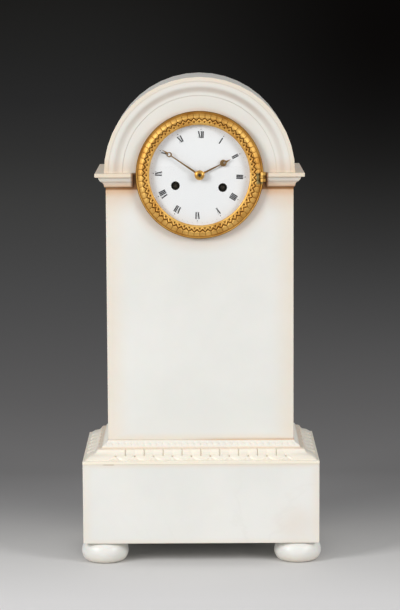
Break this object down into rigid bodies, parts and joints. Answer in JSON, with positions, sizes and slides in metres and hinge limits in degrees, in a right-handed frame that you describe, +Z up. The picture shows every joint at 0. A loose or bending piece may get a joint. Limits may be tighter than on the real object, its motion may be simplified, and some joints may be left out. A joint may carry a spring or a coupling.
{
  "type": "mantel clock",
  "caption": "White marble mantel clock with an arched top, moulded base and bun feet, a gilt bezel, an enamel dial and a striking pendulum movement.",
  "frame": {"origin": "on the surface it stands on, under the middle of the case", "axes": "+Z up, the dial faces -Y, +X to the right of someone reading the dial"},
  "size_m": [0.2414, 0.1682, 0.487],
  "materials": {
    "marble": "polished white marble with faint grey veins",
    "gilt": "gilt bronze, burnished on the high places",
    "brass": "lacquered brass",
    "steel": "polished steel",
    "enamel": "fired white enamel",
    "glass": "clear domed glass"
  },
  "bodies": {
    "case": {"foot_front_left": "marble", "foot_front_right": "marble", "foot_rear_left": "marble", "foot_rear_right": "marble", "plinth": "marble", "base_moulding": "marble", "shaft": "marble", "impost_left": "marble", "impost_right": "marble", "arch": "marble", "dial_ring": "gilt", "bezel_hinge_pin": "gilt", "rear_ring": "brass", "rear_hinge_pin": "brass", "strap_left": "brass", "strap_right": "brass", "strap_screw_left": "steel", "strap_screw_right": "steel", "dial": "enamel", "front_plate": "brass", "back_plate": "brass", "back_cock": "brass", "bell": "brass", "bell_stand": "steel", "bell_nut": "steel"},
    "bezel": {"bezel": "gilt", "bezel_glass": "glass"},
    "rear_door": {"rear_door": "brass", "rear_glass": "glass"},
    "door_button": {"door_button": "brass"},
    "minute_hand": {"minute_hand": "gilt", "cannon_pinion": "steel", "hand_collet": "gilt"},
    "minute_wheel": {"minute_wheel": "brass"},
    "hour_hand": {"hour_hand": "gilt", "hour_wheel": "brass"},
    "going_barrel": {"going_barrel": "brass", "going_mainspring": "steel"},
    "going_winding_arbor": {"going_winding_arbor": "steel"},
    "going_click": {"going_click": "steel"},
    "intermediate_wheel": {"intermediate_wheel": "brass"},
    "centre_wheel": {"centre_wheel": "brass"},
    "third_wheel": {"third_wheel": "brass"},
    "escape_wheel": {"escape_wheel": "brass"},
    "anchor": {"anchor": "steel"},
    "pendulum": {"suspension_spring": "steel", "pendulum_rod": "brass", "pendulum_bob": "brass", "rating_nut": "brass"},
    "strike_barrel": {"strike_barrel": "brass", "strike_mainspring": "steel"},
    "strike_winding_arbor": {"strike_winding_arbor": "steel"},
    "strike_click": {"strike_click": "steel"},
    "strike_second_wheel": {"strike_second_wheel": "brass", "count_wheel": "brass"},
    "pin_wheel": {"pin_wheel": "brass"},
    "locking_wheel": {"locking_wheel": "brass"},
    "fly": {"fly": "brass"},
    "hammer": {"hammer": "steel"}
  },
  "joints": [
    {"name": "bezel_hinge", "type": "hinge", "parent": "case", "child": "bezel", "pos_m": [0.0618, -0.0658, 0.388], "axis": [0, 0, 1], "range_deg": [0, 100]},
    {"name": "rear_door_hinge", "type": "hinge", "parent": "case", "child": "rear_door", "pos_m": [0.0618, 0.0658, 0.388], "axis": [0, 0, -1], "range_deg": [0, 100]},
    {"name": "door_button_turn", "type": "hinge", "parent": "rear_door", "child": "door_button", "pos_m": [-0.05525, 0.0631, 0.39], "axis": [0, 1, 0], "range_deg": [0, 90]},
    {"name": "minute_hand_turn", "type": "hinge", "parent": "case", "child": "minute_hand", "pos_m": [0, -0.06, 0.39], "axis": [0, 1, 0], "continuous": true},
    {"name": "minute_wheel_turn", "type": "hinge", "parent": "case", "child": "minute_wheel", "pos_m": [-0.00054, -0.047, 0.37801], "axis": [0, 1, 0], "continuous": true},
    {"name": "hour_hand_turn", "type": "hinge", "parent": "case", "child": "hour_hand", "pos_m": [0, -0.06, 0.39], "axis": [0, 1, 0], "continuous": true},
    {"name": "going_winding", "type": "hinge", "parent": "case", "child": "going_winding_arbor", "pos_m": [0.0227, -0.045, 0.37746], "axis": [0, 1, 0], "continuous": true},
    {"name": "going_click_rock", "type": "hinge", "parent": "case", "child": "going_click", "pos_m": [0.03424, -0.045, 0.37265], "axis": [0, 1, 0], "range_deg": [0, 8]},
    {"name": "escape_turn", "type": "hinge", "parent": "case", "child": "escape_wheel", "pos_m": [0.00113, -0.02, 0.4148], "axis": [0, 1, 0], "continuous": true},
    {"name": "third_turn", "type": "hinge", "parent": "case", "child": "third_wheel", "pos_m": [-0.0059, -0.02, 0.40363], "axis": [0, 1, 0], "continuous": true},
    {"name": "centre_turn", "type": "hinge", "parent": "case", "child": "centre_wheel", "pos_m": [0, -0.02, 0.39], "axis": [0, 1, 0], "continuous": true},
    {"name": "intermediate_turn", "type": "hinge", "parent": "case", "child": "intermediate_wheel", "pos_m": [0.01305, -0.02, 0.40005], "axis": [0, 1, 0], "continuous": true},
    {"name": "going_barrel_turn", "type": "hinge", "parent": "case", "child": "going_barrel", "pos_m": [0.0227, -0.03, 0.37746], "axis": [0, 1, 0], "continuous": true},
    {"name": "pendulum_swing", "type": "hinge", "parent": "case", "child": "pendulum", "pos_m": [0.00169, 0, 0.42729], "axis": [0, 1, 0], "range_deg": [-4.5, 4.5]},
    {"name": "anchor_rock", "type": "hinge", "parent": "case", "child": "anchor", "pos_m": [0.00169, -0.02, 0.42729], "axis": [0, 1, 0], "range_deg": [-4.5, 4.5]},
    {"name": "strike_winding", "type": "hinge", "parent": "case", "child": "strike_winding_arbor", "pos_m": [-0.02375, -0.045, 0.37957], "axis": [0, 1, 0], "continuous": true},
    {"name": "strike_click_rock", "type": "hinge", "parent": "case", "child": "strike_click", "pos_m": [-0.03568, -0.045, 0.37583], "axis": [0, -1, 0], "range_deg": [0, 8]},
    {"name": "fly_turn", "type": "hinge", "parent": "case", "child": "fly", "pos_m": [-0.01409, -0.03, 0.42868], "axis": [0, 1, 0], "continuous": true},
    {"name": "locking_turn", "type": "hinge", "parent": "case", "child": "locking_wheel", "pos_m": [-0.0081, -0.03, 0.42407], "axis": [0, 1, 0], "continuous": true},
    {"name": "pin_wheel_turn", "type": "hinge", "parent": "case", "child": "pin_wheel", "pos_m": [-0.01544, -0.03, 0.41551], "axis": [0, 1, 0], "continuous": true},
    {"name": "strike_second_turn", "type": "hinge", "parent": "case", "child": "strike_second_wheel", "pos_m": [-0.0264, -0.02, 0.40399], "axis": [0, 1, 0], "continuous": true},
    {"name": "strike_barrel_turn", "type": "hinge", "parent": "case", "child": "strike_barrel", "pos_m": [-0.02375, -0.03, 0.37957], "axis": [0, 1, 0], "continuous": true},
    {"name": "hammer_lift", "type": "hinge", "parent": "case", "child": "hammer", "pos_m": [-0.04173, -0.007, 0.3969], "axis": [0, -1, 0], "range_deg": [0, 10]}
  ],
  "couplings": [
    {"joint": "minute_wheel_turn", "follows": "minute_hand_turn", "ratio": -0.33333},
    {"joint": "hour_hand_turn", "follows": "minute_hand_turn", "ratio": 0.083333},
    {"joint": "intermediate_turn", "follows": "third_turn", "ratio": 0.02},
    {"joint": "going_barrel_turn", "follows": "third_turn", "ratio": -0.0033333},
    {"joint": "centre_turn", "follows": "third_turn", "ratio": -0.1},
    {"joint": "escape_turn", "follows": "third_turn", "ratio": -10},
    {"joint": "anchor_rock", "follows": "pendulum_swing", "ratio": 1},
    {"joint": "pin_wheel_turn", "follows": "locking_turn", "ratio": -0.14286},
    {"joint": "strike_second_turn", "follows": "locking_turn", "ratio": 0.015873},
    {"joint": "strike_barrel_turn", "follows": "locking_turn", "ratio": -0.0026455},
    {"joint": "fly_turn", "follows": "locking_turn", "ratio": -5}
  ]
}
